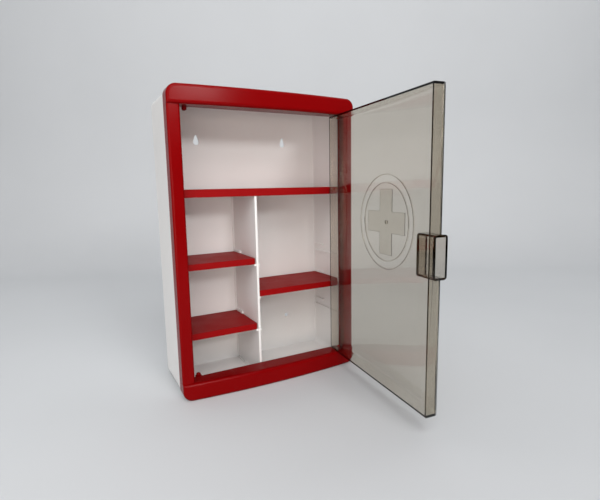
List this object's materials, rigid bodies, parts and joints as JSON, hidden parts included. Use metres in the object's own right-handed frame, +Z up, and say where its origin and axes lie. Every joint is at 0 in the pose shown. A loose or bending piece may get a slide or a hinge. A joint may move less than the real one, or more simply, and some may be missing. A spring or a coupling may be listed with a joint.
{
  "type": "first aid cabinet",
  "caption": "Wall cabinet for first aid supplies: a moulded white case with a red bowed front frame, red shelves, an upright divider and a smoky clear door hung on pins.",
  "frame": {"origin": "middle of the base, halfway between the front face of the frame's uprights and the back", "axes": "+X to the right seen from the front, +Y into the cabinet and towards the wall, +Z up"},
  "size_m": [0.3, 0.3716, 0.448],
  "materials": {
    "white_plastic": "moulded, fine satin",
    "red_plastic": "moulded, glossy",
    "smoky_plastic": "clear, smoke tinted, polished"
  },
  "bodies": {
    "cabinet": {"case": "white_plastic", "front_frame": "red_plastic", "upper_shelf": "red_plastic", "divider": "white_plastic", "left_upper_shelf": "red_plastic", "left_lower_shelf": "red_plastic", "right_shelf": "red_plastic", "hinge_pin_bottom": "red_plastic", "hinge_pin_top": "red_plastic", "spare_pin_bottom": "red_plastic", "spare_pin_top": "red_plastic"},
    "door_leaf": {"door": "smoky_plastic", "door_handle": "smoky_plastic"}
  },
  "joints": [
    {"name": "door_hinge", "type": "hinge", "parent": "cabinet", "child": "door_leaf", "pos_m": [0.124, -0.055, 0.224], "axis": [0, 0, 1], "range_deg": [-83.5, 6.5]}
  ]
}
